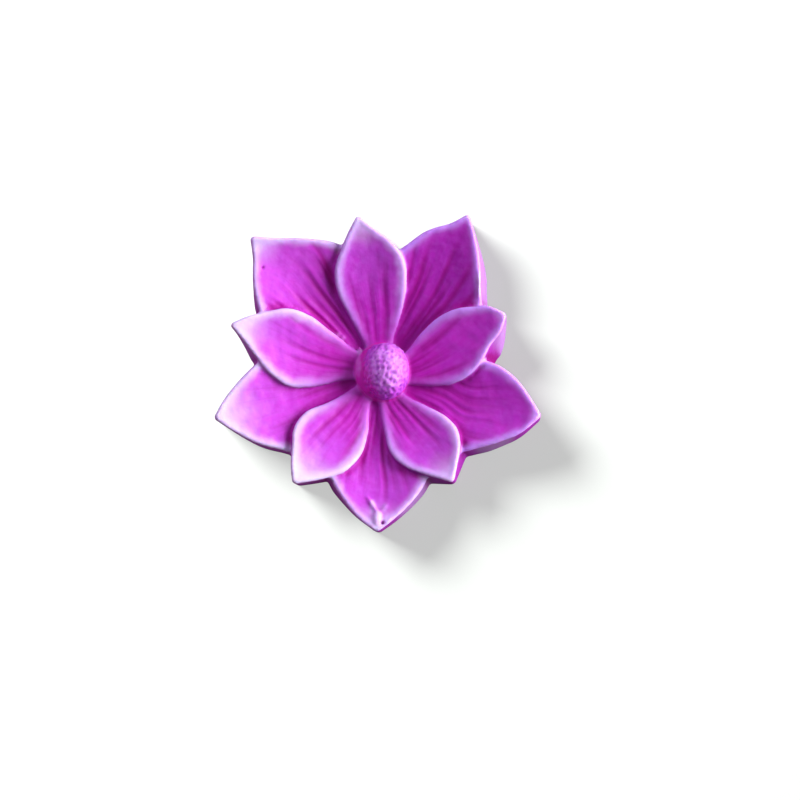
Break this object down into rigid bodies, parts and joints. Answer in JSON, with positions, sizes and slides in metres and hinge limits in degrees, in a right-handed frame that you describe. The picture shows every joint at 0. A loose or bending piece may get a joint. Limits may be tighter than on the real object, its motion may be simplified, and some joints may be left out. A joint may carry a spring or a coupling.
{
  "type": "moulded lotus flower",
  "caption": "Moulded lotus flower ornament with tiers of cupped, pale-rimmed petals round a stippled button, and a flat back to lie on.",
  "frame": {"origin": "middle of the flat back, at the bottom centre of the flower's box", "axes": "+Z out of the flower's face; +Y towards the top petal of the inner tier as it is seen from the front; +X to the right of that"},
  "size_m": [0.0732, 0.0712, 0.0167],
  "materials": {
    "pink_casting": "satin to gloss cast resin, magenta pink, paler at the petal rims and darker in the creases"
  },
  "bodies": {
    "root": {"moulded_flower": "pink_casting"}
  },
  "joints": []
}
